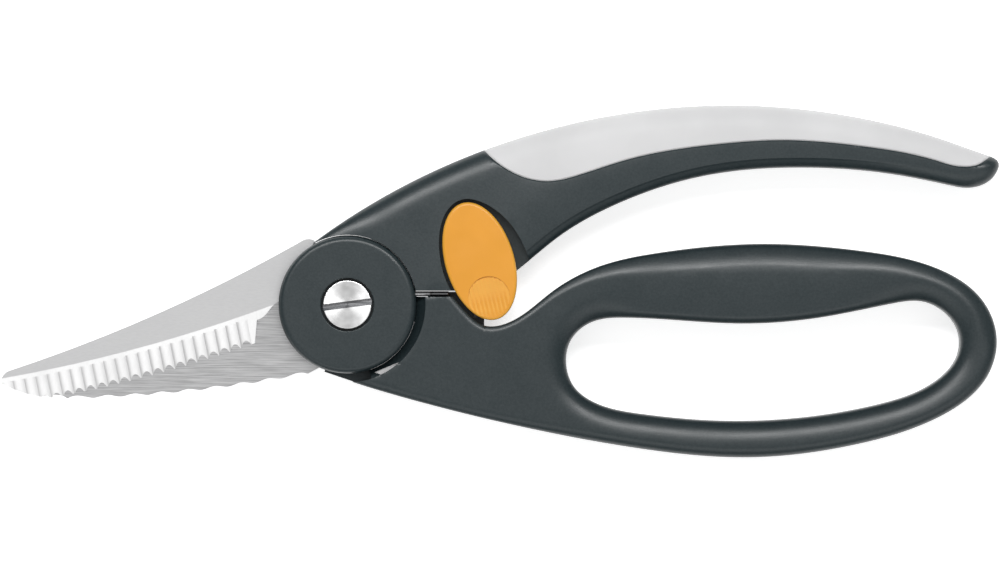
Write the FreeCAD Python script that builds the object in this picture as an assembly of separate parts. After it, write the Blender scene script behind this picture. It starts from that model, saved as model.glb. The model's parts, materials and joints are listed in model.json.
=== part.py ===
import FreeCAD, Part

# Poultry shears: two stamped blades with overmoulded handles, a screwed pivot with an opening
# spring under its cap, and a thumb lever that locks the handles together.
#
# Frame, in millimetres: the origin is on the pivot axis, on the plane the shears rest on.
# +X runs towards the handles' ends, +Y towards the upper handle, +Z up, out of the front face.
# The shears are modelled closed and locked.

import math
import os

from FreeCAD import Vector

# --- heights of the layers, from the rest plane up ---------------------------------------------
HANDLE_TOP = 15.0
BOSS_TOP = 5.2
BLADE_THICKNESS = 2.3
WASHER_GAP = 0.05
REAR_WASHER_TOP = BOSS_TOP + 0.25
REAR_BLADE_BOTTOM = REAR_WASHER_TOP + WASHER_GAP
REAR_BLADE_TOP = REAR_BLADE_BOTTOM + BLADE_THICKNESS
BLADE_WASHER_BOTTOM = REAR_BLADE_TOP + WASHER_GAP
FRONT_BLADE_BOTTOM = REAR_BLADE_TOP + 0.2
FRONT_BLADE_TOP = FRONT_BLADE_BOTTOM + BLADE_THICKNESS
FRONT_LAYER_BOTTOM = FRONT_BLADE_TOP + 0.4
CAP_TOP = 15.4

# --- pivot --------------------------------------------------------------------------------------
SCREW_RADIUS = 2.5
SCREW_HEAD_RADIUS = 5.65
SCREW_HEAD_TOP = 15.0
SCREW_HEAD_THICKNESS = 1.9
SCREW_SLOT_WIDTH = 1.5
SCREW_SLOT_DEPTH = 1.0
SCREW_SLOT_ANGLE = 7.4
BUSH_RADIUS = 4.0
BUSH_BORE = 2.55
RUNNING_FIT = 0.06
NUT_HEAD_RADIUS = 6.0
NUT_HEAD_THICKNESS = 1.6
NUT_BARREL_RADIUS = 4.4
NUT_WALL = 0.9
CAP_RADIUS = 15.85
CAP_WALL = 1.7
CAP_ROOF = 1.4
CAP_HUB_RADIUS = 7.4
CAP_COUNTERBORE = 6.1
CAP_SEAT = 12.7
CAP_EDGE = 1.4
HUB_RADIUS = 13.0
WASHER_RADIUS = 9.0
OPENING_ANGLE = 35.0

# --- opening spring -----------------------------------------------------------------------------
SPRING_WIRE = 0.55
SPRING_RADIUS = 9.6
SPRING_TURNS = 2
SPRING_LOW = 10.98
SPRING_PITCH = 1.2
SPRING_LEG_Y = 2.5
SPRING_LEG_ENDS = (23.4, 19.3)

# --- handles ------------------------------------------------------------------------------------
UPPER_CUTOUT = 16.05
UPPER_RELIEF = 18.9
LOWER_CUTOUT = 17.9
LOWER_SLOT = 19.8
UPPER_STOP_Y = 3.2
LOWER_STOP_Y = 1.8
UPPER_EDGE = 2.2
LOWER_EDGE = 3.4
LEDGE_TOP = 7.2
LEDGE_END = 31.5
CRESCENT_FLOOR = 10.9
CRESCENT_INNER = 15.95
BOSS_RADIUS = 16.0
GRIP_DEPTH = 4.0
GRIP_CORE = (4.0, 11.0)

# --- lock ---------------------------------------------------------------------------------------
LOCK_PIVOT = (28.2, 19.0)
LOCK_SWING = 12.0
LEVER_CENTRE = (30.47, 9.98)
LEVER_LONG = 13.97
LEVER_SHORT = 7.93
LEVER_TILT = 17.0
LEVER_BOTTOM = 10.0
LEVER_TOP = 15.3
LEVER_GAP = 0.8
POCKET_FLOOR = 9.8
LEVER_BOSS = 3.5
LEVER_BOSS_END = 3.3
LOCK_RECESS_RADIUS = 5.2
LOCK_RECESS_TOP = 3.6
LOCK_WASHER_THICKNESS = 0.6
LOCK_SCREW_RADIUS = 1.4
THUMB_CENTRE = (32.6, 1.7)
THUMB_RADIUS = 4.8
THUMB_DEPTH = 0.5
THUMB_RIBS = 9
THUMB_RIB_PITCH = 0.95
THUMB_LEAN = 13.0
CATCH_CENTRE = (29.2, -0.6)
CATCH_RADIUS = 1.2
LATCH_PLATE = 0.8
LATCH_LOW = 7.6

# --- blades -------------------------------------------------------------------------------------
# The front blade's edge is a long arc, and its bevel a cone that starts at a slightly flatter one.
EDGE_CENTRE = (-122.6, 273.5)
EDGE_RADIUS = 300.0
BEVEL_CENTRE = (-141.9, 336.1)
BEVEL_RADIUS = 358.6
BEVEL_WIDTH = 6.8
EDGE_LAND = 0.15
BEVEL_SLOPE = (BLADE_THICKNESS - EDGE_LAND) / BEVEL_WIDTH
REAR_EDGE_RADIUS = EDGE_RADIUS - 3.5
REAR_BEVEL_WIDTH = 4.0
SERRATION_COUNT = 22
SERRATION_PITCH = 2.67
SERRATION_RADIUS = 1.95
SERRATION_DEPTH = 0.5
SERRATION_START_X = -77.6
SERRATION_LEAN = 11.0
SERRATION_MARGIN = 0.7
# The rear blade's back is a long arc with a wave on it.
BACK_CENTRE = (-69.6, 298.25)
BACK_RADIUS = 320.0
WAVE_PITCH = 6.2
WAVE_HEIGHT = 0.55
WAVE_COUNT = 9
WAVE_START_X = -64.6


# --- helpers ------------------------------------------------------------------------------------
def vec(point, z=0.0):
    return Vector(point[0], point[1], z)


def line(a, b):
    return Part.LineSegment(vec(a), vec(b)).toShape()


def arc(a, middle, b):
    return Part.Arc(vec(a), vec(middle), vec(b)).toShape()


def spline(points):
    curve = Part.BSplineCurve()
    curve.interpolate([vec(p) for p in points])
    return curve.toShape()


def closed_spline(points):
    curve = Part.BSplineCurve()
    curve.interpolate([vec(p) for p in points], PeriodicFlag=True)
    return curve.toShape()


def polar(radius, degrees, centre=(0.0, 0.0)):
    angle = math.radians(degrees)
    return (centre[0] + radius * math.cos(angle), centre[1] + radius * math.sin(angle))


def prism(edges, low, high):
    face = Part.Face(Part.Wire(edges))
    face.translate(Vector(0, 0, low))
    return face.extrude(Vector(0, 0, high - low))


def polygon(points, low, high):
    edges = [line(a, b) for a, b in zip(points, points[1:] + points[:1])]
    return prism(edges, low, high)


def cylinder(radius, low, high, centre=(0.0, 0.0)):
    return Part.makeCylinder(radius, high - low, vec(centre, low))


def ring(inner, outer, low, high, centre=(0.0, 0.0)):
    return cylinder(outer, low, high, centre).cut(cylinder(inner, low - 1, high + 1, centre))


def box(low, high):
    size = [b - a for a, b in zip(low, high)]
    return Part.makeBox(size[0], size[1], size[2], Vector(low[0], low[1], low[2]))


def turned(shape, degrees, centre=(0.0, 0.0)):
    copy = shape.copy()
    copy.rotate(vec(centre), Vector(0, 0, 1), degrees)
    return copy


def revolved(profile, centre, start=0.0, sweep=360.0):
    """A profile of (radius, z) points turned about the vertical axis through centre."""
    points = [Vector(r, 0, z) for r, z in profile]
    face = Part.Face(Part.makePolygon(points + points[:1]))
    solid = face.revolve(Vector(0, 0, 0), Vector(0, 0, 1), sweep)
    solid.rotate(Vector(0, 0, 0), Vector(0, 0, 1), start)
    solid.translate(vec(centre))
    return solid


def rounded(solid, radius, picks):
    return solid.makeFillet(radius, [e for e in solid.Edges if picks(e)])


def at_height(edge, *heights):
    box_ = edge.BoundBox
    flat = box_.ZMax - box_.ZMin < 0.001
    return flat and any(abs(box_.ZMin - z) < 0.001 for z in heights)


def arc_angle(centre, radius, x):
    """The angle, below the centre, at which a circle reaches x."""
    return -math.degrees(math.acos((x - centre[0]) / radius))


# --- blades -------------------------------------------------------------------------------------
def front_tang():
    """The front blade's tang: down and right from the hub, into the lower handle."""
    outline = [
        (3.5, -12.6), (6.0, -15.7), (12.5, -18.2), (40.0, -23.0),
        (44.0, -19.5), (42.0, -13.5), (12.8, -3.0),
    ]
    tang = polygon(outline, FRONT_BLADE_BOTTOM, FRONT_BLADE_TOP)
    for x, y in ((24.0, -13.5), (36.0, -16.5)):
        tang = tang.cut(cylinder(2.2, FRONT_BLADE_BOTTOM - 1, FRONT_BLADE_TOP + 1, (x, y)))
    return tang


def front_blade_blank():
    edge_end = arc_angle(EDGE_CENTRE, EDGE_RADIUS, -21.4)
    edge_tip = arc_angle(EDGE_CENTRE, EDGE_RADIUS, -67.5)
    heel = polar(EDGE_RADIUS, edge_end, EDGE_CENTRE)
    toe = polar(EDGE_RADIUS, edge_tip, EDGE_CENTRE)
    middle = polar(EDGE_RADIUS, (edge_end + edge_tip) / 2, EDGE_CENTRE)
    tip = [
        (-70.8, -21.3), (-74.5, -20.4), (-78.2, -19.1),
        (-79.9, -17.8), (-79.5, -16.5), (-78.1, -15.3),
    ]
    choil = [
        (-10.5, -4.5), (-14.0, 0.2), (-15.9, 0.6),
        (-17.6, -0.7), (-18.6, -2.0), (-20.9, -3.5),
    ]
    edges = [
        spline([toe] + tip),
        arc(tip[-1], (-44.5, -2.4), (-10.8, 14.5)),
        arc((-10.8, 14.5), (-9.2, 15.1), (-7.8, 14.9)),
        line((-7.8, 14.9), (-5.0, 10.0)),
        line((-5.0, 10.0), choil[0]),
        spline(choil),
        line(choil[-1], heel),
        arc(heel, middle, toe),
    ]
    return prism(edges, FRONT_BLADE_BOTTOM, FRONT_BLADE_TOP)


def front_bevel():
    """The wedge ground off the front face along the edge."""
    reach = BEVEL_WIDTH + 2.0
    profile = [
        (BEVEL_RADIUS, FRONT_BLADE_TOP),
        (BEVEL_RADIUS + reach, FRONT_BLADE_TOP - reach * BEVEL_SLOPE),
        (BEVEL_RADIUS + reach, FRONT_BLADE_TOP + 1.0),
        (BEVEL_RADIUS, FRONT_BLADE_TOP + 1.0),
    ]
    start = arc_angle(BEVEL_CENTRE, BEVEL_RADIUS, -86.0)
    end = arc_angle(BEVEL_CENTRE, BEVEL_RADIUS, -14.0)
    return revolved(profile, BEVEL_CENTRE, start, end - start)


def front_serrations():
    """Round parallel grooves that start just inside the bevel and scallop the edge."""
    slope = math.atan(BEVEL_SLOPE)
    step = math.degrees(SERRATION_PITCH / EDGE_RADIUS)
    first = arc_angle(EDGE_CENTRE, EDGE_RADIUS, SERRATION_START_X)
    lift = SERRATION_RADIUS - SERRATION_DEPTH
    outward = vec(polar(1.0, SERRATION_LEAN - 90.0))
    axis = outward * math.cos(slope) - Vector(0, 0, math.sin(slope))
    up = outward * math.sin(slope) + Vector(0, 0, math.cos(slope))
    grooves = []
    for i in range(SERRATION_COUNT):
        place = polar(EDGE_RADIUS, first + i * step, EDGE_CENTRE)
        width = math.dist(place, BEVEL_CENTRE) - BEVEL_RADIUS
        on_edge = vec(place, FRONT_BLADE_TOP - width * BEVEL_SLOPE)
        start = on_edge + up * lift - axis * (width - SERRATION_MARGIN)
        grooves.append(Part.makeCylinder(SERRATION_RADIUS, BEVEL_WIDTH + 3.0, start, axis))
    return Part.makeCompound(grooves)


def make_front_blade():
    blade = front_blade_blank()
    blade = blade.cut(front_bevel())
    blade = blade.cut(front_serrations())
    hub = cylinder(HUB_RADIUS, FRONT_BLADE_BOTTOM, FRONT_BLADE_TOP)
    blade = blade.fuse([hub, front_tang()])
    blade = blade.cut(cylinder(BUSH_RADIUS, 0, HANDLE_TOP))
    return blade.removeSplitter()


def rear_tang():
    """The rear blade's tang: up and right from the hub, into the upper handle."""
    outline = [
        (3.0, 12.6), (12.0, 21.0), (30.0, 29.5), (46.0, 25.5),
        (48.0, 20.0), (32.0, 9.5), (12.8, 3.0),
    ]
    tang = polygon(outline, REAR_BLADE_BOTTOM, REAR_BLADE_TOP)
    for x, y, radius in ((LOCK_PIVOT[0], LOCK_PIVOT[1], LEVER_BOSS + 1.4), (40.0, 21.0, 2.2)):
        tang = tang.cut(cylinder(radius, REAR_BLADE_BOTTOM - 1, REAR_BLADE_TOP + 1, (x, y)))
    return tang


def wavy_back():
    """The rear blade's back from its tip end to the hub: crests on an arc, troughs inside it."""
    step = math.degrees(WAVE_PITCH / BACK_RADIUS)
    first = arc_angle(BACK_CENTRE, BACK_RADIUS, WAVE_START_X)
    points = []
    for i in range(2 * WAVE_COUNT + 1):
        radius = BACK_RADIUS - (WAVE_HEIGHT if i % 2 else 0.0)
        points.append(polar(radius, first + i * step / 2, BACK_CENTRE))
    return points


def rear_bevel():
    """The wedge ground off the rear face along the rear blade's edge."""
    edge_height = REAR_BLADE_TOP - EDGE_LAND
    profile = [
        (REAR_EDGE_RADIUS + REAR_BEVEL_WIDTH, REAR_BLADE_BOTTOM),
        (REAR_EDGE_RADIUS, edge_height),
        (REAR_EDGE_RADIUS - 1.0, edge_height),
        (REAR_EDGE_RADIUS - 1.0, REAR_BLADE_BOTTOM - 1.0),
        (REAR_EDGE_RADIUS + REAR_BEVEL_WIDTH, REAR_BLADE_BOTTOM - 1.0),
    ]
    start = arc_angle(EDGE_CENTRE, REAR_EDGE_RADIUS, -84.0)
    end = arc_angle(EDGE_CENTRE, REAR_EDGE_RADIUS, -24.5)
    return revolved(profile, EDGE_CENTRE, start, end - start)


def make_rear_blade():
    back = wavy_back()
    heel_angle = arc_angle(EDGE_CENTRE, REAR_EDGE_RADIUS, -25.0)
    toe_angle = arc_angle(EDGE_CENTRE, REAR_EDGE_RADIUS, -77.3)
    heel = polar(REAR_EDGE_RADIUS, heel_angle, EDGE_CENTRE)
    middle = polar(REAR_EDGE_RADIUS, (heel_angle + toe_angle) / 2, EDGE_CENTRE)
    toe = polar(REAR_EDGE_RADIUS, toe_angle, EDGE_CENTRE)
    edges = [
        spline([toe, (-74.0, -20.6), (-70.8, -21.15), (-67.7, -20.85), back[0]]),
        spline(back),
        line(back[-1], (-3.0, -12.65)),
        line((-3.0, -12.65), (-12.4, 4.0)),
        spline([(-12.4, 4.0), (-17.0, 1.5), (-23.0, -1.5)]),
        line((-23.0, -1.5), heel),
        arc(heel, middle, toe),
    ]
    blade = prism(edges, REAR_BLADE_BOTTOM, REAR_BLADE_TOP)
    blade = blade.cut(rear_bevel())
    hub = cylinder(HUB_RADIUS, REAR_BLADE_BOTTOM, REAR_BLADE_TOP)
    blade = blade.fuse([hub, rear_tang()])
    blade = blade.cut(cylinder(BUSH_RADIUS + RUNNING_FIT, 0, HANDLE_TOP))
    return blade.removeSplitter()


# --- pivot --------------------------------------------------------------------------------------
def make_pivot_nut():
    """A round-headed sleeve nut, its closed head flush with the rest plane."""
    nut = cylinder(NUT_HEAD_RADIUS, 0, NUT_HEAD_THICKNESS)
    nut = rounded(nut, 0.3, lambda e: at_height(e, 0.0))
    nut = nut.fuse(cylinder(NUT_BARREL_RADIUS, NUT_HEAD_THICKNESS, BOSS_TOP))
    nut = nut.cut(cylinder(SCREW_RADIUS, NUT_WALL, BOSS_TOP + 1))
    for x in (-4.2, 4.2):
        nut = nut.cut(cylinder(0.7, -1, 1.0, (x, 0)))
    return nut


def make_pivot_bush():
    return ring(BUSH_BORE, BUSH_RADIUS, BOSS_TOP, FRONT_BLADE_TOP)


def make_rear_washer():
    return ring(BUSH_RADIUS + RUNNING_FIT, WASHER_RADIUS, BOSS_TOP, REAR_WASHER_TOP)


def make_blade_washer():
    return ring(BUSH_RADIUS + RUNNING_FIT, WASHER_RADIUS, BLADE_WASHER_BOTTOM, FRONT_BLADE_BOTTOM)


def make_pivot_screw():
    head_bottom = SCREW_HEAD_TOP - SCREW_HEAD_THICKNESS
    head = cylinder(SCREW_HEAD_RADIUS, head_bottom, SCREW_HEAD_TOP)
    head = rounded(head, 0.3, lambda e: at_height(e, SCREW_HEAD_TOP))
    slot_low = SCREW_HEAD_TOP - SCREW_SLOT_DEPTH
    slot = box((-8, -SCREW_SLOT_WIDTH / 2, slot_low), (8, SCREW_SLOT_WIDTH / 2, SCREW_HEAD_TOP + 1))
    head = head.cut(turned(slot, SCREW_SLOT_ANGLE))
    return head.fuse(cylinder(SCREW_RADIUS, NUT_WALL + 0.3, head_bottom))


def make_spring_washer():
    """A conical spring washer between the screw's head and the cap's seat."""
    head_bottom = SCREW_HEAD_TOP - SCREW_HEAD_THICKNESS
    profile = [
        (2.7, head_bottom - 0.2),
        (2.7, head_bottom),
        (5.2, CAP_SEAT + 0.2),
        (5.2, CAP_SEAT),
    ]
    return revolved(profile, (0, 0))


def spring_window():
    """The gap in the cap's skirt that the spring's upper leg sweeps as the shears open."""
    low, high = FRONT_BLADE_TOP - 1, CAP_TOP - CAP_ROOF
    first = math.degrees(math.asin((SPRING_LEG_Y - SPRING_WIRE) / CAP_RADIUS)) - 2.0
    last = first + OPENING_ANGLE + 10.0
    sector = [(0, 0)] + [polar(25, angle) for angle in (first, (first + last) / 2, last)]
    skirt = ring(CAP_HUB_RADIUS + 2.0, CAP_RADIUS + 2.0, low, high)
    return skirt.common(polygon(sector, low, high))


def make_pivot_cap():
    """The round cover: a hub under the screw's head, and a skirt round the opening spring."""
    cap = cylinder(CAP_RADIUS, FRONT_BLADE_TOP, CAP_TOP)
    cap = rounded(cap, CAP_EDGE, lambda e: at_height(e, CAP_TOP))
    cavity = ring(CAP_HUB_RADIUS, CAP_RADIUS - CAP_WALL, FRONT_BLADE_TOP - 1, CAP_TOP - CAP_ROOF)
    cap = cap.cut(cavity)
    cap = cap.cut(cylinder(CAP_COUNTERBORE, CAP_SEAT, CAP_TOP + 1))
    cap = cap.cut(cylinder(SCREW_RADIUS + 0.1, 0, CAP_TOP))
    cap = cap.cut(spring_window())
    return rounded(cap, 0.25, lambda e: at_height(e, CAP_TOP))


def make_opening_spring():
    """A torsion spring of whole turns, so both legs point along the gap between the handles."""
    height = SPRING_TURNS * SPRING_PITCH
    start_angle = math.degrees(math.asin(SPRING_LEG_Y / SPRING_RADIUS))
    helix = Part.makeHelix(SPRING_PITCH, height, SPRING_RADIUS)
    section = Part.Wire(Part.makeCircle(SPRING_WIRE, Vector(SPRING_RADIUS, 0, 0), Vector(0, 1, 0)))
    coil = Part.Wire(helix).makePipeShell([section], True, True)
    coil = turned(coil, start_angle)
    coil.translate(Vector(0, 0, SPRING_LOW))
    leg_x = math.sqrt(SPRING_RADIUS**2 - SPRING_LEG_Y**2)
    pieces = []
    for z, leg_end in zip((SPRING_LOW, SPRING_LOW + height), SPRING_LEG_ENDS):
        end = Vector(leg_x, SPRING_LEG_Y, z)
        pieces.append(Part.makeSphere(SPRING_WIRE, end))
        pieces.append(Part.makeCylinder(SPRING_WIRE, leg_end - leg_x, end, Vector(1, 0, 0)))
    return coil.fuse(pieces)


# --- handles ------------------------------------------------------------------------------------
def upper_top():
    """The upper handle's outer line, from its tip over the pivot to the far end."""
    return [
        (-7.8, 14.3), (-4.6, 16.6), (7.6, 24.4), (30.7, 35.3),
        (62.9, 43.9), (90.6, 45.9), (118.2, 43.0), (140.0, 37.2),
    ]


def upper_end():
    return [(146.6, 34.7), (149.6, 32.6), (149.6, 30.0), (147.2, 27.9), (143.2, 26.9), (138.0, 27.6)]


def upper_bottom():
    """The upper handle's inner line, from the far end down past the stop face."""
    return [
        (127.5, 29.8), (104.4, 31.6), (81.4, 29.5), (62.9, 23.5),
        (49.1, 15.9), (39.9, 8.5), (33.2, 3.2), (28.0, -1.5),
    ]


def upper_blank():
    """The upper handle and its grip in one, before the pivot's cut-out and the stop face."""
    outline = upper_top() + upper_end() + upper_bottom()
    corner = (outline[0][0], outline[-1][1])
    edges = [spline(outline), line(outline[-1], corner), line(corner, outline[0])]
    blank = prism(edges, 0.0, HANDLE_TOP)
    blank = rounded(blank, UPPER_EDGE, lambda e: at_height(e, 0.0, HANDLE_TOP) and e.Length > 60)
    blank = blank.cut(cylinder(UPPER_CUTOUT, -1, HANDLE_TOP + 1))
    return blank.cut(box((-40, -20, -1), (60, UPPER_STOP_Y, HANDLE_TOP + 1)))


def grip_zone():
    """Everything above the grip's lower boundary."""
    points = [
        (29.5, 38.5), (35.3, 32.1), (39.6, 29.7), (46.4, 28.4), (52.9, 29.7), (63.5, 33.2),
        (86.0, 37.2), (99.5, 38.0), (118.2, 36.7), (136.4, 33.0), (142.7, 31.8), (149.5, 36.5),
    ]
    edges = [
        spline(points),
        line(points[-1], (149.5, 60.0)),
        line((149.5, 60.0), (29.5, 60.0)),
        line((29.5, 60.0), points[0]),
    ]
    return prism(edges, -1.0, HANDLE_TOP + 1)


def make_grip_insert(blank):
    """The soft grip moulded round a rib that the handle keeps inside it."""
    core = blank.common(box((20, 0, GRIP_CORE[0]), (160, 60, GRIP_CORE[1])))
    core.translate(Vector(0, -GRIP_DEPTH, 0))
    return blank.common(grip_zone()).cut(core)


def lever_outline(extra=0.0):
    ellipse = Part.Ellipse(Vector(0, 0, 0), LEVER_LONG + extra, LEVER_SHORT + extra).toShape()
    ellipse.rotate(Vector(0, 0, 0), Vector(0, 0, 1), 90 + LEVER_TILT)
    ellipse.translate(vec(LEVER_CENTRE))
    return ellipse


def lever_pocket():
    """The space the lever sweeps, with a gap all round."""
    space = prism([lever_outline(LEVER_GAP)], POCKET_FLOOR, HANDLE_TOP + 2)
    swept = [turned(space, angle, LOCK_PIVOT) for angle in (LOCK_SWING / 2, LOCK_SWING)]
    return space.fuse(swept)


def make_upper_handle(blank, grip, blade):
    handle = blank.cut(grip)
    handle = handle.cut(cylinder(UPPER_RELIEF, -1, FRONT_LAYER_BOTTOM))
    handle = handle.cut(box((-30, 0, -1), (4.0, 40, FRONT_LAYER_BOTTOM)))
    handle = handle.cut(lever_pocket())
    handle = handle.cut(cylinder(LEVER_BOSS + RUNNING_FIT, -1, HANDLE_TOP, LOCK_PIVOT))
    handle = handle.cut(cylinder(LOCK_RECESS_RADIUS, -1, LOCK_RECESS_TOP, LOCK_PIVOT))
    return handle.cut(blade)


def lower_outline():
    """The lower handle's outer line, from beside the lever round the loop to below the pivot."""
    return [
        (21.5, 5.6), (24.3, 1.8), (27.2, -1.6), (31.7, -4.9), (36.5, -4.4), (46.8, 2.7),
        (58.3, 8.9), (72.1, 12.0), (95.2, 14.0), (118.2, 12.4), (136.7, 8.0), (145.9, 1.5),
        (149.6, -8.3), (147.1, -17.0), (136.7, -25.7), (118.2, -32.0), (93.0, -35.2),
        (67.5, -33.2), (39.9, -28.1), (12.2, -21.2), (1.2, -17.86), (-9.0, -14.2),
    ]


def finger_loop():
    points = [
        (50.4, -13.5), (51.4, -8.4), (56.0, -4.2), (64.0, -3.05), (90.6, -4.4), (109.0, -3.0),
        (125.5, 0.2), (132.5, 0.7), (137.6, -1.7), (140.8, -6.3), (140.7, -11.6), (135.9, -17.5),
        (122.9, -22.9), (104.4, -26.1), (86.0, -26.8), (67.5, -25.2), (57.0, -22.6), (52.2, -18.9),
    ]
    return prism([closed_spline(points)], -1.0, HANDLE_TOP + 1)


def lower_blank():
    """The lower handle at full height, with its loop, pivot cut-out and stop face."""
    outline = lower_outline()
    corner = (outline[-1][0], outline[0][1])
    edges = [spline(outline), line(outline[-1], corner), line(corner, outline[0])]
    blank = prism(edges, 0.0, HANDLE_TOP).cut(finger_loop())
    blank = rounded(blank, LOWER_EDGE, lambda e: at_height(e, 0.0, HANDLE_TOP) and e.Length > 60)
    blank = blank.cut(cylinder(LOWER_CUTOUT, -1, HANDLE_TOP + 1))
    return blank.cut(box((-40, LOWER_STOP_Y, -1), (26, 40, HANDLE_TOP + 1)))


def lower_ledge():
    """The low step under the lever, which carries the catch pin."""
    outline = [
        (23.0, LOWER_STOP_Y), (LEDGE_END, LOWER_STOP_Y),
        (LEDGE_END, -6.5), (26.0, -6.5), (23.0, -2.0),
    ]
    return polygon(outline, 0.0, LEDGE_TOP)


def lower_boss():
    """The round boss behind the blades, and the web that joins it to the handle."""
    web = [(-5.4, -15.55), (4.0, -18.72), (20.0, -16.0), (20.0, LOWER_STOP_Y), (0.0, LOWER_STOP_Y)]
    boss = cylinder(BOSS_RADIUS, 0.0, BOSS_TOP)
    boss = rounded(boss, 1.0, lambda e: at_height(e, 0.0))
    return boss.fuse(polygon(web, 0.0, BOSS_TOP))


def crescent_floor():
    """A step at the foot of the crescent gap round the cap, with a window down to the tang."""
    floor = ring(CRESCENT_INNER, LOWER_CUTOUT + 0.5, FRONT_BLADE_BOTTOM, CRESCENT_FLOOR)
    sector = [(0, 0), polar(40, -72), polar(50, -36), (40, LOWER_STOP_Y), (0, LOWER_STOP_Y)]
    window = [(6.15, -15.65), (11.7, -13.3), (14.0, -15.0), (9.0, -20.0), (7.5, -16.05)]
    floor = floor.common(polygon(sector, 0, HANDLE_TOP))
    return floor.cut(polygon(window, FRONT_BLADE_TOP, HANDLE_TOP))


def make_lower_handle(blade, pin):
    handle = lower_blank()
    handle = handle.cut(cylinder(LOWER_SLOT, BOSS_TOP, FRONT_BLADE_BOTTOM))
    handle = handle.fuse([lower_ledge(), lower_boss(), crescent_floor()])
    handle = handle.cut(cylinder(NUT_HEAD_RADIUS, -1, NUT_HEAD_THICKNESS))
    handle = handle.cut(cylinder(NUT_BARREL_RADIUS, 0, BOSS_TOP + 1))
    return handle.cut(blade).cut(pin)


# --- lock ---------------------------------------------------------------------------------------
def make_catch_pin():
    pin = cylinder(CATCH_RADIUS, 2.5, POCKET_FLOOR - 0.1, CATCH_CENTRE)
    return rounded(pin, 0.25, lambda e: at_height(e, POCKET_FLOOR - 0.1))


def make_lock_latch():
    """A bent spring-steel hook: a plate let into the lever, a stem, and a lip under the pin."""
    right = CATCH_CENTRE[0] + CATCH_RADIUS + 0.15
    lip_top = CATCH_CENTRE[1] - CATCH_RADIUS - 0.15
    plate_top = LEVER_BOTTOM + LATCH_PLATE
    plate = box((right, 0.0, LEVER_BOTTOM), (right + 4.4, 9.5, plate_top))
    stem = box((right, lip_top - 1.1, LATCH_LOW), (right + 1.2, 2.0, plate_top))
    lip = box((CATCH_CENTRE[0] - 0.1, lip_top - 1.1, LATCH_LOW), (right + 1.2, lip_top, POCKET_FLOOR))
    return plate.fuse([stem, lip])


def latch_rivet_places():
    right = CATCH_CENTRE[0] + CATCH_RADIUS + 0.15
    return [(right + 2.2, 3.4), (right + 2.2, 7.4)]


def make_latch_rivets():
    rivets = []
    for place in latch_rivet_places():
        shank = cylinder(0.7, LEVER_BOTTOM, LEVER_BOTTOM + 3.0, place)
        head = cylinder(1.1, LEVER_BOTTOM, LEVER_BOTTOM + LATCH_PLATE / 2, place)
        rivets.append(shank.fuse(head))
    return Part.makeCompound(rivets)


def make_lock_screw():
    """A cross-slotted screw up into the lever's boss, its head below the washers."""
    x, y = LOCK_PIVOT
    head_high = LEVER_BOSS_END - LOCK_WASHER_THICKNESS
    head_low = head_high - 1.8
    head = cylinder(2.8, head_low, head_high, LOCK_PIVOT)
    head = rounded(head, 0.6, lambda e: at_height(e, head_low))
    for half_x, half_y in ((1.6, 0.35), (0.35, 1.6)):
        slot = box((x - half_x, y - half_y, head_low - 1), (x + half_x, y + half_y, head_low + 1))
        head = head.cut(slot)
    return head.fuse(cylinder(LOCK_SCREW_RADIUS, head_high, 9.0, LOCK_PIVOT))


def make_lock_washer():
    low = LEVER_BOSS_END - LOCK_WASHER_THICKNESS
    return ring(LOCK_SCREW_RADIUS + 0.05, 4.8, low, LEVER_BOSS_END, LOCK_PIVOT)


def make_lock_spring_washer():
    """A conical washer between the flat one and the handle, which holds the lever by friction."""
    high = LOCK_RECESS_TOP - 0.04
    profile = [(3.65, high - 0.12), (3.65, high), (4.7, LEVER_BOSS_END + 0.12), (4.7, LEVER_BOSS_END)]
    return revolved(profile, LOCK_PIVOT)


def thumb_scoop():
    """A round dish, deepest at its top and running out at the bottom, with ribs left in it."""
    tilt = math.degrees(math.asin(THUMB_DEPTH / (2 * THUMB_RADIUS)))
    dish = cylinder(THUMB_RADIUS, 0, 4.0)
    for i in range(THUMB_RIBS):
        x = (i - (THUMB_RIBS - 1) / 2) * THUMB_RIB_PITCH
        rib = box((x - 0.22, -THUMB_RADIUS, -1), (x + 0.22, THUMB_RADIUS - 0.4, 0.22))
        dish = dish.cut(rib)
    dish.rotate(Vector(0, -THUMB_RADIUS, 0), Vector(1, 0, 0), -tilt)
    dish.rotate(Vector(0, 0, 0), Vector(0, 0, 1), THUMB_LEAN)
    dish.translate(vec(THUMB_CENTRE, LEVER_TOP))
    return dish


def make_lock_lever(latch, rivets, screw):
    lever = prism([lever_outline()], LEVER_BOTTOM, LEVER_TOP)
    lever = rounded(lever, 0.7, lambda e: at_height(e, LEVER_TOP))
    lever = lever.cut(thumb_scoop())
    lever = lever.fuse(cylinder(LEVER_BOSS, LEVER_BOSS_END, LEVER_BOTTOM, LOCK_PIVOT))
    for solid in (latch, rivets, screw):
        lever = lever.cut(solid)
    return lever


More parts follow.
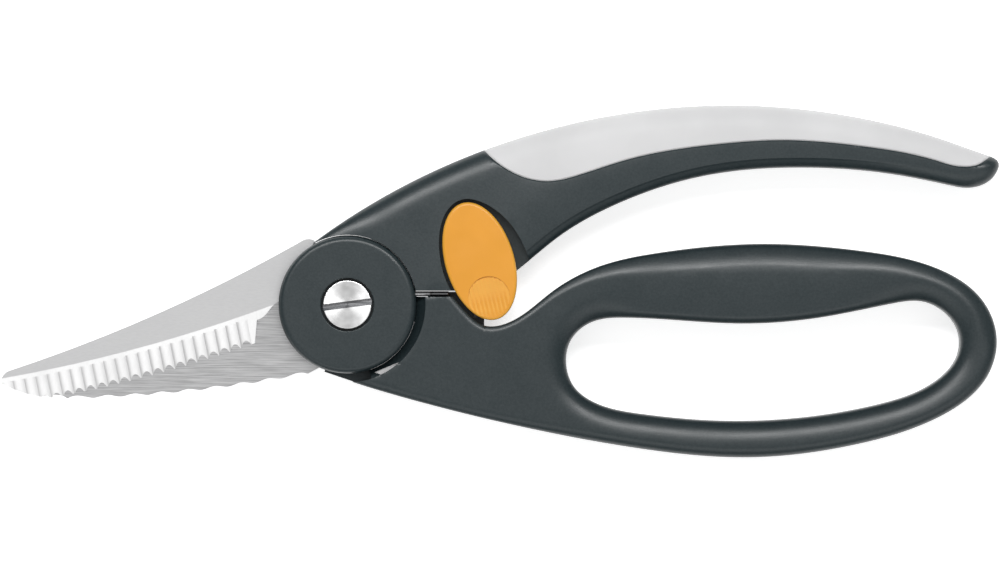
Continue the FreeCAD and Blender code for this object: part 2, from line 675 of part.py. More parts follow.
# --- assembly -----------------------------------------------------------------------------------
def make_parts():
    front_blade = make_front_blade()
    rear_blade = make_rear_blade()
    pin = make_catch_pin()
    blank = upper_blank()
    grip = make_grip_insert(blank)
    rivets = make_latch_rivets()
    latch = make_lock_latch().cut(rivets)
    screw = make_lock_screw()
    return {
        "lower_handle": make_lower_handle(front_blade, pin),
        "front_blade": front_blade,
        "pivot_nut": make_pivot_nut(),
        "pivot_bush": make_pivot_bush(),
        "rear_washer": make_rear_washer(),
        "blade_washer": make_blade_washer(),
        "pivot_cap": make_pivot_cap(),
        "spring_washer": make_spring_washer(),
        "pivot_screw": make_pivot_screw(),
        "opening_spring": make_opening_spring(),
        "catch_pin": pin,
        "upper_handle": make_upper_handle(blank, grip, rear_blade),
        "rear_blade": rear_blade,
        "grip_insert": grip,
        "lock_lever": make_lock_lever(latch, rivets, screw),
        "lock_latch": latch,
        "latch_rivets": rivets,
        "lock_screw": screw,
        "lock_washer": make_lock_washer(),
        "lock_spring_washer": make_lock_spring_washer(),
    }


def main():
    os.makedirs("parts", exist_ok=True)
    for name, shape in make_parts().items():
        shape.exportStep("parts/" + name + ".step")
        size = shape.BoundBox
        print(name, len(shape.Solids), shape.isValid(), round(shape.Volume, 1),
              [round(v, 2) for v in (size.XMin, size.YMin, size.ZMin, size.XMax, size.YMax, size.ZMax)])


main()
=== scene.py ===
import json
import math

import bpy
import numpy as np
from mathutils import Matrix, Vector, geometry


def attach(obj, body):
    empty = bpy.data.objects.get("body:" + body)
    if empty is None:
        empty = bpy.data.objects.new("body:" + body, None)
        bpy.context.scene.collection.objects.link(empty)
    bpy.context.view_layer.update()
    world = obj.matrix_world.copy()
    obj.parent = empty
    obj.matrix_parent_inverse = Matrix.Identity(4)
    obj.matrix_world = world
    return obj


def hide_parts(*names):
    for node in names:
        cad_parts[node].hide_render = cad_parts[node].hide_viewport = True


# The looks of a pair of poultry shears. The two handles and the grip are rebuilt as finely
# shaped shells over the CAD solids, and the opening spring as two wires, one for each half.
# Everything else keeps its CAD shape and gets a material. Shapes are worked out in millimetres
# and become metres when an object is made.

MM = 0.001
HANDLE_TOP = 15.0

# The upper handle: radii round the main pivot, the line it stops at, and its levels.
UPPER_CUTOUT = 16.05
UPPER_RELIEF = 18.9
UPPER_STOP_Y = 3.2
TONGUE_X = 4.0
RELIEF_LEVEL = 10.7
CREASE = 1.95

# The lock: its screw's place, hole and nut recess, and the lever's outline, an ellipse.
LOCK_PIVOT = (28.2, 19.0)
LOCK_BORE = 3.56
LOCK_RECESS = 5.2
LOCK_RECESS_LEVEL = 3.6
LOCK_SWINGS = (0.0, 6.0, 12.0)
POCKET_LEVEL = 9.8
LEVER_CENTRE = (30.47, 9.98)
LEVER_HALF_LENGTH = 14.77
LEVER_HALF_WIDTH = 8.73
LEVER_TILT = 107.0

# The lower handle: radii round the main pivot, the line it stops at, and its levels.
LOWER_CUTOUT = 17.9
LOWER_SLOT = 19.8
SLOT_LOW = 5.3
SLOT_HIGH = 8.0
LOWER_STOP_Y = 1.8
BOSS_RADIUS = 16.0
BOSS_TOP = 5.2
LEDGE_TOP = 7.2
NUT_RADIUS = 6.0
NUT_BORE = 4.4
NUT_RECESS = 1.6
CRESCENT_INNER = 15.95
CRESCENT_FLOOR = 10.9
CRESCENT_RISE = 0.7

# The opening spring, of round wire.
SPRING_RADIUS = 9.6
SPRING_LOW = 10.98
SPRING_PITCH = 1.2
SPRING_LEG_Y = 2.5
SPRING_LEG_ENDS = (23.4, 19.3)

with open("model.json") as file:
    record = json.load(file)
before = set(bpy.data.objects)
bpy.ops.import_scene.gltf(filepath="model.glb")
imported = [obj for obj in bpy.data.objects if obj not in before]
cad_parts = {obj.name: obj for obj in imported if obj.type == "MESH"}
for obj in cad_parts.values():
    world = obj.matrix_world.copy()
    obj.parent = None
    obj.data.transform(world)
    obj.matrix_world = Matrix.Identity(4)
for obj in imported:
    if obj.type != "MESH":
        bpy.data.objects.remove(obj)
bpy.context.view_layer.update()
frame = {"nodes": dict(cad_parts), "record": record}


# --- camera -------------------------------------------------------------------------------------
def make_camera():
    """Straight down on the front face, far enough away for hardly any perspective."""
    data = bpy.data.cameras.new("camera")
    data.sensor_width = 36.0
    distance = 3.0
    data.lens = data.sensor_width * distance / 0.2307
    data.clip_end = 50.0
    camera = bpy.data.objects.new("camera", data)
    camera.location = (0.03515, 0.00542, distance + 0.008)
    bpy.context.scene.collection.objects.link(camera)
    bpy.context.scene.camera = camera


make_camera()


# --- plane curves -------------------------------------------------------------------------------
def curve_through(points, closed=False, step=0.8):
    """Points about `step` apart on the smooth cubic curve through the given ones."""
    p = np.array(points + points[:1] if closed else points, float)
    h = np.linalg.norm(np.diff(p, axis=0), axis=1)
    n = len(p)
    a = np.zeros((n, n))
    b = np.zeros((n, 2))
    for i in range(1, n - 1):
        a[i, i - 1 : i + 2] = h[i - 1], 2 * (h[i - 1] + h[i]), h[i]
        b[i] = 6 * ((p[i + 1] - p[i]) / h[i] - (p[i] - p[i - 1]) / h[i - 1])
    if closed:
        a[0, [0, 1, n - 2]] = 2 * (h[0] + h[-1]), h[0], h[-1]
        b[0] = 6 * ((p[1] - p[0]) / h[0] - (p[-1] - p[-2]) / h[-1])
        a[-1, [0, -1]] = 1, -1
    else:
        a[0, 0] = a[-1, -1] = 1
    m = np.linalg.solve(a, b)
    t = np.concatenate([[0], np.cumsum(h)])
    s = np.linspace(0, t[-1], int(t[-1] / step) + 1)
    i = np.clip(np.searchsorted(t, s, side="right") - 1, 0, n - 2)
    u = ((s - t[i]) / h[i])[:, None]
    v = 1 - u
    hh = (h[i] ** 2)[:, None]
    out = v * p[i] + u * p[i + 1] + hh / 6 * ((v**3 - v) * m[i] + (u**3 - u) * m[i + 1])
    return out[:-1] if closed else out


def circle(radius, centre=(0.0, 0.0), step=0.8):
    n = int(2 * math.pi * radius / step)
    angle = np.arange(n) * 2 * math.pi / n
    return np.stack([centre[0] + radius * np.cos(angle), centre[1] + radius * np.sin(angle)], 1)


def straight(*corners, step=0.8):
    """A chain of straight runs through the corners."""
    out = []
    for a, b in zip(corners, corners[1:]):
        a, b = np.array(a, float), np.array(b, float)
        n = max(1, int(np.linalg.norm(b - a) / step))
        out += [a + (b - a) * k / n for k in range(n)]
    return np.array(out + [np.array(corners[-1], float)])


def distance(points, curve, closed=False):
    """Distance of each point from a polyline."""
    a = curve
    b = np.roll(curve, -1, axis=0)
    if not closed:
        a, b = a[:-1], b[:-1]
    best = np.full(len(points), 1e9)
    d = b - a
    dd = (d * d).sum(1)
    for start in range(0, len(points), 2000):
        q = points[start : start + 2000, None, :] - a[None]
        t = np.clip((q * d).sum(2) / dd, 0, 1)
        gap = q - t[..., None] * d
        best[start : start + 2000] = np.sqrt((gap * gap).sum(2).min(1))
    return best


def inside(points, polygon):
    """Whether each point is inside a closed polygon."""
    x, y = points[:, 0:1], points[:, 1:2]
    ax, ay = polygon[:, 0], polygon[:, 1]
    bx, by = np.roll(ax, -1), np.roll(ay, -1)
    crosses = (ay > y) != (by > y)
    with np.errstate(divide="ignore", invalid="ignore"):
        at = ax + (y - ay) * (bx - ax) / (by - ay)
    return ((crosses & (x < at)).sum(1) % 2) == 1


def radius_from(points, centre=(0.0, 0.0)):
    return np.hypot(points[:, 0] - centre[0], points[:, 1] - centre[1])


def ramp(x, low, high):
    t = np.clip((x - low) / (high - low), 0, 1)
    return t * t * (3 - 2 * t)


def roll(d, a, b):
    """How far an elliptical edge rounding, a wide and b high, has dropped at distance d."""
    u = np.clip(1 - d / a, 0, 1)
    return b * (1 - np.sqrt(1 - u * u))


# --- shells -------------------------------------------------------------------------------------
def offset_rows(curve, rows, closed):
    """Points beside a curve at each row's distance, on both sides."""
    if closed:
        tangent = np.roll(curve, -1, axis=0) - np.roll(curve, 1, axis=0)
    else:
        tangent = np.gradient(curve, axis=0)
    tangent /= np.linalg.norm(tangent, axis=1)[:, None]
    normal = np.stack([-tangent[:, 1], tangent[:, 0]], 1)
    return [(curve + side * row * normal, row) for row in rows for side in (-1, 1)]


def triangulate(curves, keep, pitch):
    """A plane triangulation that follows every curve, with rows beside it and a grid between."""
    points, edges, count = [], [], 0
    for curve, closed, rows in curves:
        n = len(curve)
        points.append(curve)
        edges += [(count + i, count + i + 1) for i in range(n - 1)]
        if closed:
            edges.append((count + n - 1, count))
        count += n

    def clear(candidates, gap, own=None):
        ok = keep(candidates)
        for curve, closed, rows in curves:
            reach = gap if own is None or curve is own else min(gap, 0.25)
            ok &= distance(candidates, curve, closed) > reach
        return candidates[ok]

    for curve, closed, rows in curves:
        for row, gap in offset_rows(curve, rows, closed):
            points.append(clear(row, gap * 0.97, curve))
    lo = np.min([c.min(0) for c, _, _ in curves], 0)
    hi = np.max([c.max(0) for c, _, _ in curves], 0)
    gx, gy = np.meshgrid(np.arange(lo[0], hi[0], pitch), np.arange(lo[1], hi[1], pitch * 0.866))
    gx = gx + (np.arange(gx.shape[0]) % 2 * pitch / 2)[:, None]
    grid = np.stack([gx.ravel(), gy.ravel()], 1)
    for curve, closed, rows in curves:
        far = (rows[-1] if rows else 0) + pitch * 0.6
        grid = grid[distance(grid, curve, closed) > far]
    points.append(grid[keep(grid)])
    cloud = [Vector(p) for p in np.concatenate(points)]
    verts, _, faces, _, _, _ = geometry.delaunay_2d_cdt(cloud, edges, [], 0, 1e-6)
    return np.array([tuple(v) for v in verts]), np.array(faces)


def build_shell(name, curves, levels, top_of, bottom_of, pitch=1.4):
    """A closed shell from a plane triangulation.

    levels gives each named surface's height as a function of points. top_of and bottom_of name
    the surface that closes the shell above and below each point, or "" outside the piece.
    """
    def kept(points):
        return top_of(points) != ""

    flat, faces = triangulate(curves, kept, pitch)
    middle = flat[faces].mean(1)
    area = np.cross(flat[faces[:, 1]] - flat[faces[:, 0]], flat[faces[:, 2]] - flat[faces[:, 0]])
    faces = faces[(np.abs(area) > 1e-7) & kept(middle)]
    middle = flat[faces].mean(1)
    tops, bottoms = top_of(middle), bottom_of(middle)

    heights = {key: level(flat) for key, level in levels.items()}
    verts, index, columns = [], {}, {}

    def vertex(v, key):
        if (v, key) not in index:
            index[v, key] = len(verts)
            verts.append((flat[v, 0], flat[v, 1], heights[key][v]))
            columns.setdefault(v, []).append((heights[key][v], index[v, key]))
        return index[v, key]

    out = []
    sides = {}
    for f, (a, b, c) in enumerate(faces):
        out.append([vertex(a, tops[f]), vertex(b, tops[f]), vertex(c, tops[f])])
        out.append([vertex(c, bottoms[f]), vertex(b, bottoms[f]), vertex(a, bottoms[f])])
        for p, q in ((a, b), (b, c), (c, a)):
            sides[p, q] = f

    def wall(p, q, low, high):
        """The upright face under the edge p, q, between two surfaces, seen from its right."""
        def run(v):
            z0, z1 = heights[low][v], heights[high][v]
            return [i for z, i in sorted(set(columns[v])) if z0 - 1e-9 <= z <= z1 + 1e-9]
        up, down = run(q), run(p)[::-1]
        ring = up + down
        if len(ring) > 2:
            out.append(ring)

    for (p, q), f in sides.items():
        g = sides.get((q, p))
        if g is None:
            wall(p, q, bottoms[f], tops[f])
            continue
        if tops[f] != tops[g] and heights[tops[f]][p] > heights[tops[g]][p]:
            wall(p, q, tops[g], tops[f])
        if bottoms[f] != bottoms[g] and heights[bottoms[f]][p] < heights[bottoms[g]][p]:
            wall(p, q, bottoms[f], bottoms[g])

    mesh = bpy.data.meshes.new(name)
    mesh.from_pydata([(x * MM, y * MM, z * MM) for x, y, z in verts], [], out)
    mesh.validate()
    obj = bpy.data.objects.new(name, mesh)
    bpy.context.scene.collection.objects.link(obj)
    return obj


def cut_prism(obj, outline, low, high):
    """Cut away everything inside an upright prism."""
    n = len(outline)
    verts = [(x * MM, y * MM, z * MM) for z in (low, high) for x, y in outline]
    faces = [list(range(n))[::-1], list(range(n, 2 * n))]
    faces += [[i, (i + 1) % n, n + (i + 1) % n, n + i] for i in range(n)]
    mesh = bpy.data.meshes.new("cutter")
    mesh.from_pydata(verts, [], faces)
    cutter = bpy.data.objects.new("cutter", mesh)
    bpy.context.scene.collection.objects.link(cutter)
    cut = obj.modifiers.new("cut", "BOOLEAN")
    cut.operation = "DIFFERENCE"
    cut.solver = "EXACT"
    cut.object = cutter
    seen = obj.evaluated_get(bpy.context.evaluated_depsgraph_get())
    result = bpy.data.meshes.new_from_object(seen)
    obj.modifiers.clear()
    obj.data = result
    bpy.data.objects.remove(cutter)


def smooth(obj, degrees=32.0):
    mesh = obj.data
    mesh.shade_smooth()
    mesh.set_sharp_from_angle(angle=math.radians(degrees))
    return obj


# --- upper handle -------------------------------------------------------------------------------
UPPER_OUTLINE = [
    (-7.8, 14.3), (-4.6, 16.6), (7.6, 24.4), (30.7, 35.3), (62.9, 43.9), (90.6, 45.9),
    (118.2, 43.0), (136.7, 38.2), (145.9, 34.95), (148.6, 33.95), (149.85, 33.1), (150.15, 32.2),
    (149.85, 31.0), (148.6, 29.1), (146.4, 27.6), (142.8, 26.9), (139.5, 27.4), (127.5, 29.8),
    (104.4, 31.6), (81.4, 29.5),
    (62.9, 23.5), (49.1, 15.9), (39.9, 8.5), (33.2, 3.2), (28.0, -1.5),
]
GRIP_LINE = [
    (29.5, 38.5), (31.5, 35.6), (35.3, 32.1), (39.6, 29.7), (46.4, 28.4), (52.9, 29.7),
    (63.5, 33.1), (86.0, 37.0), (99.5, 37.85), (118.2, 36.5), (136.4, 32.9), (139.5, 32.0),
    (142.7, 31.75), (145.2, 32.2), (147.0, 33.3), (148.4, 34.5), (149.6, 36.5),
]
EDGE_ROWS = [
    0.05, 0.16, 0.35, 0.6, 0.9, 1.2, 1.45, 1.65, 1.8, 1.95, 2.1, 2.3, 2.6, 3.0, 3.6, 4.3, 5.0,
]
SHARP_ROWS = [0.04, 0.09, 0.16]

upper_outline = curve_through(UPPER_OUTLINE)
upper_polygon = np.vstack([upper_outline, [[UPPER_OUTLINE[0][0], UPPER_OUTLINE[-1][1]]]])
upper_inner = upper_outline[int(len(upper_outline) * 0.54) :]
grip_line = curve_through(GRIP_LINE)
grip_polygon = np.vstack([grip_line, [[149.6, 60.0], [29.5, 60.0]]])


def lever_pocket():
    """The outline of the space that the lever sweeps, as seen from the middle of it."""
    angles = np.linspace(0, 2 * math.pi, 121)[:-1]
    centre = np.array([30.2, 9.6])
    reach = np.zeros(len(angles))
    t = np.linspace(0, 2 * math.pi, 361)[:-1]
    tilt = math.radians(LEVER_TILT)
    x, y = LEVER_HALF_LENGTH * np.cos(t), LEVER_HALF_WIDTH * np.sin(t)
    px = LEVER_CENTRE[0] + x * math.cos(tilt) - y * math.sin(tilt) - LOCK_PIVOT[0]
    py = LEVER_CENTRE[1] + x * math.sin(tilt) + y * math.cos(tilt) - LOCK_PIVOT[1]
    for swing in LOCK_SWINGS:
        s = math.radians(swing)
        qx = LOCK_PIVOT[0] + px * math.cos(s) - py * math.sin(s) - centre[0]
        qy = LOCK_PIVOT[1] + px * math.sin(s) + py * math.cos(s) - centre[1]
        a, r = np.arctan2(qy, qx), np.hypot(qx, qy)
        order = np.argsort(a)
        reach = np.maximum(reach, np.interp(angles, a[order], r[order], period=2 * math.pi))
    return centre + reach[:, None] * np.stack([np.cos(angles), np.sin(angles)], 1)


pocket = lever_pocket()
upper_disc = circle(UPPER_CUTOUT)
upper_stop = straight((0.0, UPPER_STOP_Y), (60.0, UPPER_STOP_Y))
tongue_line = straight((TONGUE_X, -2.0), (TONGUE_X, 30.0))
relief_disc = circle(UPPER_RELIEF)
recess = circle(LOCK_RECESS, LOCK_PIVOT)
lock_bore = circle(LOCK_BORE, LOCK_PIVOT)


def upper_drop(p):
    """How far the handle's face is below its top: a rolled back, a gentle crown, and a lip.

    The lip runs along the inner edge beyond a crease, falls towards that edge, and fades out
    before the handle's end.
    """
    x = p[:, 0]
    d = distance(p, upper_outline)
    d_in = distance(p, upper_inner)
    is_lip = (d_in < d + 0.02) & (x > 30)
    wide = 2.2 + 3.2 * ramp(x, -6, 8) - 1.4 * ramp(x, 120, 148)
    high = 1.3 + 2.0 * ramp(x, -6, 8) + 1.0 * ramp(x, 30, 70) - 1.3 * ramp(x, 120, 148)
    outer = roll(d, wide, high)
    across = (d_in - 9.0) ** 2
    crown = 0.008 * across / (1 + across / 80.0)
    fade = 1 - ramp(x, 104.0, 136.0)
    wall = 1 - ramp(d_in, CREASE - 0.05, CREASE + 0.3)
    lip = roll(d_in, 1.3, 1.1) + 0.3 * wall + 0.62 * np.clip(CREASE - d_in, 0, 2)
    plain = roll(d_in, 3.4, 2.4)
    inner = lip * fade + plain * (1 - fade)
    far = ramp(x, 138.0, 147.0)
    return crown + np.where(is_lip, inner * (1 - far) + outer * far, outer)


def sharp_edges(p, curves, size=0.16):
    """The small rounding of edges that the mould leaves nearly sharp."""
    drop = np.zeros(len(p))
    for curve, closed in curves:
        drop = np.maximum(drop, roll(distance(p, curve, closed), size, size))
    return drop


def seam(p):
    return 0.3 * np.exp(-((distance(p, grip_line) / 0.16) ** 2))


def upper_surface(p):
    edges = sharp_edges(p, [(upper_disc, True), (upper_stop, False), (pocket, True)])
    return HANDLE_TOP - np.maximum(upper_drop(p), edges) - seam(p)


def grip_surface(p):
    return HANDLE_TOP - upper_drop(p) - seam(p)


def upper_region(p):
    return inside(p, upper_polygon) & (radius_from(p) > UPPER_CUTOUT) & (p[:, 1] > UPPER_STOP_Y)


def upper_top_of(p):
    name = np.where(upper_region(p) & ~inside(p, grip_polygon), "top", "")
    name = np.where((name == "top") & inside(p, pocket), "pocket", name)
    return np.where(radius_from(p, LOCK_PIVOT) < LOCK_BORE, "", name)


def upper_bottom_of(p):
    relief = (radius_from(p) < UPPER_RELIEF) | (p[:, 0] < TONGUE_X)
    name = np.where(relief, "relief", "bottom")
    return np.where(radius_from(p, LOCK_PIVOT) < LOCK_RECESS, "recess", name)


def level(z):
    return lambda p: np.full(len(p), z)


upper_curves = [
    (upper_outline, False, EDGE_ROWS),
    (grip_line, False, [0.08, 0.16, 0.28, 0.5]),
    (upper_disc, True, SHARP_ROWS),
    (upper_stop, False, SHARP_ROWS),
    (pocket, True, SHARP_ROWS),
    (tongue_line, False, []),
    (relief_disc, True, []),
    (recess, True, []),
    (lock_bore, True, []),
]
upper_levels = {
    "top": upper_surface,
    "pocket": level(POCKET_LEVEL),
    "bottom": lambda p: HANDLE_TOP - grip_surface(p),
    "relief": level(RELIEF_LEVEL),
    "recess": level(LOCK_RECESS_LEVEL),
}
upper_handle = build_shell(
    "upper_handle_shell", upper_curves, upper_levels, upper_top_of, upper_bottom_of
)
smooth(upper_handle)
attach(upper_handle, "upper_half")
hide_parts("upper_handle")


# --- grip ---------------------------------------------------------------------------------------
def grip_top_of(p):
    return np.where(inside(p, upper_polygon) & inside(p, grip_polygon), "top", "")


def grip_bottom_of(p):
    return np.full(len(p), "bottom")


grip_curves = [
    (upper_outline, False, EDGE_ROWS),
    (grip_line, False, [0.08, 0.16, 0.28, 0.5]),
]
grip_levels = {"top": grip_surface, "bottom": lambda p: HANDLE_TOP - grip_surface(p)}
grip = build_shell("grip_shell", grip_curves, grip_levels, grip_top_of, grip_bottom_of)
smooth(grip)
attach(grip, "upper_half")
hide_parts("grip_insert")


# --- lower handle -------------------------------------------------------------------------------
LOWER_OUTLINE = [
    (21.5, 5.6), (24.3, 1.8), (27.2, -1.6), (31.7, -4.9), (36.5, -4.4), (46.8, 2.7),
    (58.3, 8.9), (72.1, 12.0), (95.2, 14.0), (118.2, 12.4), (136.7, 8.0), (145.9, 1.5),
    (149.6, -8.3), (147.1, -17.0), (136.7, -25.7), (118.2, -32.0), (93.0, -35.2),
    (67.5, -33.2), (39.9, -28.1), (12.2, -21.2), (1.2, -17.86), (-9.0, -14.2),
]
FINGER_LOOP = [
    (50.4, -13.5), (51.4, -8.4), (56.0, -4.2), (64.0, -3.05), (90.6, -4.4), (109.0, -3.0),
    (125.5, 0.2), (132.5, 0.7), (137.6, -1.7), (140.8, -6.3), (140.7, -11.6), (135.9, -17.5),
    (122.9, -22.9), (104.4, -26.1), (86.0, -26.8), (67.5, -25.2), (57.0, -22.6), (52.2, -18.9),
]
BOSS_WEB = [(-5.4, -15.55), (4.0, -18.72), (20.0, -16.0), (20.0, 1.8), (0.0, 1.8)]
WINDOW = [(6.15, -15.65), (11.7, -13.3), (14.0, -15.0), (9.0, -20.0), (7.5, -16.05)]
LEDGE = [(18.5, 1.8), (18.5, 2.9), (31.5, 2.9), (31.5, -6.5), (26.0, -6.5), (22.0, -2.0)]

lower_outline = curve_through(LOWER_OUTLINE)
lower_polygon = np.vstack([lower_outline, [[LOWER_OUTLINE[-1][0], LOWER_OUTLINE[0][1]]]])
finger_loop = curve_through(FINGER_LOOP, closed=True)
lower_disc = circle(LOWER_CUTOUT)
lower_stop = straight((-2.0, LOWER_STOP_Y), (26.0, LOWER_STOP_Y))
boss_circle = circle(BOSS_RADIUS)
web = straight(*(BOSS_WEB + BOSS_WEB[:1]))[:-1]
ledge = straight(*(LEDGE + LEDGE[:1]))[:-1]
nut_circle = circle(NUT_RADIUS)
nut_bore = circle(NUT_BORE)
crescent_inner = circle(CRESCENT_INNER)
window = straight(*(WINDOW + WINDOW[:1]))[:-1]


def ridge(d, crest):
    """The drop outside a soft ridge: a slope that steepens outwards, then a tight roll."""
    u = d * 4.9 / crest
    top = 0.23 * np.clip(6.0 - u, 0, 1.1) ** 2 / 2.2
    v = np.clip(4.9 - u, 0, 4.9)
    return crest / 4.9 * (top + 0.23 * v + 0.048 * v * v + roll(u, 1.0, 1.0))


def lower_drop(p):
    """How far the lower handle's face is below its highest: broad rolls round the loop."""
    x, y = p[:, 0], p[:, 1]
    d_out = distance(p, lower_outline)
    d_in = distance(p, finger_loop, True)
    upper = ramp(y, -13.0, -5.0)
    bar = ramp(x, 29.0, 60.0)
    low_side = roll(d_out, 2.0 + 0.5 * bar, 1.2 + bar)
    crest = 1.0 + 3.9 * ramp(x, 38.0, 88.0) - 1.6 * ramp(x, 104.0, 130.0)
    outer = low_side * (1 - upper) + ridge(d_out, crest) * upper
    grip_side = ramp(x, 56.0, 70.0) * (1 - ramp(x, 112.0, 134.0)) * ramp(y, -12.0, -7.0)
    tube_side = roll(d_in, 5.8, 3.4)
    flat_side = roll(d_in, 1.8, 1.7) + 0.65 * np.clip(1 - d_in / 10.0, 0, 1) ** 2
    return outer + tube_side * (1 - grip_side) + flat_side * grip_side


def lower_surface(p):
    edges = sharp_edges(p, [(lower_disc, True), (lower_stop, False)])
    return HANDLE_TOP - np.maximum(lower_drop(p), edges)


def lower_top_of(p):
    """The body, the crescent step beside the cap, and the low ledge, boss and web under it."""
    x, y = p[:, 0], p[:, 1]
    r = radius_from(p)
    body = inside(p, lower_polygon) & ~inside(p, finger_loop) & (r > LOWER_CUTOUT)
    body &= (y < LOWER_STOP_Y) | (x > 26.0)
    angle = np.degrees(np.arctan2(y, x))
    step = (r > CRESCENT_INNER) & (r < LOWER_CUTOUT + 0.2) & (angle > -72.0) & (y < LOWER_STOP_Y)
    step &= (x > 0) & ~inside(p, window)
    name = np.where((r < BOSS_RADIUS) | inside(p, web), "boss", "")
    name = np.where(inside(p, ledge), "ledge", name)
    name = np.where(step, "step", name)
    name = np.where(body, "top", name)
    return np.where(r < NUT_BORE, "", name)


def lower_bottom_of(p):
    return np.where(radius_from(p) < NUT_RADIUS, "nut", "bottom")


def lower_underside(p):
    boss = roll(BOSS_RADIUS - radius_from(p), 1.0, 1.0) * (p[:, 0] < 4.0)
    within = inside(p, lower_polygon) | (distance(p, lower_outline) < 0.02)
    body = np.where(within & (radius_from(p) > 16.5), lower_drop(p), 0.0)
    return np.maximum(boss, body)


def crescent_surface(p):
    return CRESCENT_FLOOR + CRESCENT_RISE * np.clip(radius_from(p) - CRESCENT_INNER, 0, 2)


lower_curves = [
    (lower_outline, False, EDGE_ROWS),
    (finger_loop, True, EDGE_ROWS),
    (lower_disc, True, SHARP_ROWS),
    (lower_stop, False, SHARP_ROWS),
    (boss_circle, True, [0.1, 0.3, 0.6, 1.0]),
    (web, True, []),
    (ledge, True, []),
    (nut_circle, True, []),
    (nut_bore, True, []),
    (crescent_inner, True, []),
    (window, True, []),
]
lower_levels = {
    "top": lower_surface,
    "boss": level(BOSS_TOP),
    "ledge": level(LEDGE_TOP),
    "step": crescent_surface,
    "bottom": lower_underside,
    "nut": level(NUT_RECESS),
}
lower_handle = build_shell(
    "lower_handle_shell", lower_curves, lower_levels, lower_top_of, lower_bottom_of
)
cut_prism(lower_handle, circle(LOWER_SLOT, step=0.4), SLOT_LOW, SLOT_HIGH)
smooth(lower_handle)
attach(lower_handle, "lower_half")
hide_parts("lower_handle")


# --- opening spring -----------------------------------------------------------------------------
def tube(name, path, radius=0.55, sides=14):
    """A round wire along a path, its ends slightly rounded."""
    path = np.array(path, float)
    tangent = np.gradient(path, axis=0)
    tangent /= np.linalg.norm(tangent, axis=1)[:, None]
    across = np.cross(tangent[0], (0.0, 0.0, 1.0))
    rings, faces = [], []
    angle = np.arange(sides) * 2 * math.pi / sides
    for k, (point, along) in enumerate(zip(path, tangent)):
        across = across - along * np.dot(across, along)
        across /= np.linalg.norm(across)
        other = np.cross(along, across)
        size = radius * (0.7 if k in (0, len(path) - 1) else 1.0)
        ring = np.cos(angle)[:, None] * across + np.sin(angle)[:, None] * other
        rings.append(point + size * ring)
    for k in range(len(path) - 1):
        for i in range(sides):
            j = (i + 1) % sides
            faces.append([k * sides + i, k * sides + j, (k + 1) * sides + j, (k + 1) * sides + i])
    faces.append(list(range(sides))[::-1])
    faces.append([(len(path) - 1) * sides + i for i in range(sides)])
    mesh = bpy.data.meshes.new(name)
    mesh.from_pydata((np.concatenate(rings) * MM).tolist(), [], faces)
    mesh.shade_smooth()
    mesh.set_sharp_from_angle(angle=math.radians(50.0))
    obj = bpy.data.objects.new(name, mesh)
    bpy.context.scene.collection.objects.link(obj)
    return obj


def wire_leg(tip, low, height):
    """The straight run of a spring leg, from its tip in to the coil."""
    inner = math.sqrt(SPRING_RADIUS**2 - SPRING_LEG_Y**2) + 1.2
    run = [tip, tip - 0.16, *np.linspace(tip - 0.6, inner, 9)]
    return [(x, SPRING_LEG_Y, low + height) for x in run]


def spring_coil():
    """The lower leg, a bend, and the two turns under the cap."""
    leg = wire_leg(SPRING_LEG_ENDS[0], SPRING_LOW, 0.0)
    first = math.degrees(math.asin(SPRING_LEG_Y / SPRING_RADIUS))
    turns = []
    for a in np.arange(first + 8.0, first + 720.0, 6.0):
        rise = SPRING_PITCH * (a - first) / 360.0
        x, y = SPRING_RADIUS * math.cos(math.radians(a)), SPRING_RADIUS * math.sin(math.radians(a))
        turns.append((x, y, SPRING_LOW + rise))
    corner = np.array([leg[-1][0] - 1.2, SPRING_LEG_Y, SPRING_LOW])
    a, b = np.array(leg[-1]), np.array(turns[0])
    bend = [(1 - u) ** 2 * a + 2 * u * (1 - u) * corner + u * u * b for u in (0.25, 0.5, 0.75)]
    return leg + [tuple(p) for p in bend] + turns


spring = tube("opening_spring_coil", spring_coil())
spring_leg = tube("opening_spring_leg", wire_leg(SPRING_LEG_ENDS[1], SPRING_LOW, 2 * SPRING_PITCH))
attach(spring, "lower_half")
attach(spring_leg, "upper_half")
for wire in (spring, spring_leg):
    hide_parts("opening_spring")


